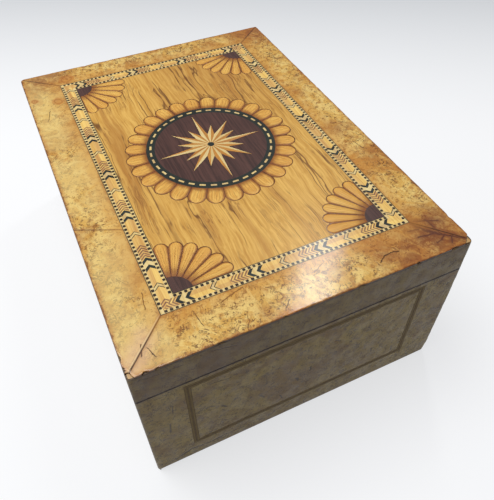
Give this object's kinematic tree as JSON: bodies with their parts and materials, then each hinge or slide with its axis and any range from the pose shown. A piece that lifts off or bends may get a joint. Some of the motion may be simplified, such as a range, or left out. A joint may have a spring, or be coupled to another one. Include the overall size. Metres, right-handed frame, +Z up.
{
  "type": "keepsake box",
  "caption": "Low rectangular veneered keepsake box with a hinged marquetry lid, chevron banding, lined inside and a small slot-and-staple lock.",
  "frame": {"origin": "middle of the underside, on the surface that the box stands on", "axes": "+X towards the right-hand end, -Y the front with the keyhole, +Y the back with the hinges, +Z up; the lid is closed"},
  "size_m": [0.33, 0.2378, 0.1382],
  "materials": {
    "carcass_pine": "bare softwood, planed",
    "side_burr": "burr veneer, old varnish, darkened",
    "lid_burr": "light burr veneer, old satin varnish",
    "mahogany": "waxed",
    "lining_paper": "faded blue lining paper on card",
    "ebony": "dyed black, varnished",
    "holly": "pale stringing wood, yellowed varnish",
    "walnut": "varnished",
    "satinwood": "golden, dark grain lines, varnished",
    "satinwood_carved": "golden, cut grooves, varnished",
    "rosewood": "dark purple-brown, varnished",
    "brass": "aged, brushed",
    "screw_brass": "aged",
    "spring_steel": "blued"
  },
  "bodies": {
    "body": {"body_front": "carcass_pine", "body_back": "carcass_pine", "body_left": "carcass_pine", "body_right": "carcass_pine", "bottom_board": "carcass_pine", "body_rim": "mahogany", "body_veneer_front": "side_burr", "body_veneer_back": "side_burr", "body_veneer_left": "side_burr", "body_veneer_right": "side_burr", "border_black": "ebony", "border_pale": "holly", "body_lining": "lining_paper", "left_hinge_body_leaf": "brass", "right_hinge_body_leaf": "brass", "hinge_pins": "brass", "body_hinge_screws": "screw_brass", "lock_plate": "brass", "lock_case": "brass", "lock_spring": "spring_steel", "lock_screws": "screw_brass", "escutcheon": "brass"},
    "bolt": {"lock_bolt": "brass"},
    "lid": {"lid_front": "carcass_pine", "lid_back": "carcass_pine", "lid_left": "carcass_pine", "lid_right": "carcass_pine", "lid_board": "carcass_pine", "lid_rim": "mahogany", "lid_veneer_front": "side_burr", "lid_veneer_back": "side_burr", "lid_veneer_left": "side_burr", "lid_veneer_right": "side_burr", "burr_front": "lid_burr", "burr_back": "lid_burr", "burr_left": "lid_burr", "burr_right": "lid_burr", "lid_lining": "lining_paper", "banding_lines": "ebony", "banding_squares": "ebony", "banding_cream": "holly", "chevrons_black": "ebony", "chevrons_brown": "walnut", "chevrons_gold": "satinwood", "panel_ground": "satinwood", "roundel_ground": "rosewood", "ring_black": "ebony", "ring_dashes": "holly", "star_light": "holly", "star_shade": "satinwood_carved", "star_button": "ebony", "wreath_petals": "satinwood_carved", "fan_petals": "satinwood_carved", "petal_beds": "walnut", "fan_hubs": "rosewood", "left_hinge_lid_leaf": "brass", "right_hinge_lid_leaf": "brass", "lid_hinge_screws": "screw_brass", "link_plate": "brass", "link_screws": "screw_brass"}
  },
  "joints": [
    {"name": "lid_hinge", "type": "hinge", "parent": "body", "child": "lid", "pos_m": [0, 0.1169, 0.10945], "axis": [-1, 0, 0], "range_deg": [0, 100]},
    {"name": "bolt_slide", "type": "slide", "parent": "body", "child": "bolt", "axis": [1, 0, 0], "range_m": [0, 0.0045]}
  ]
}
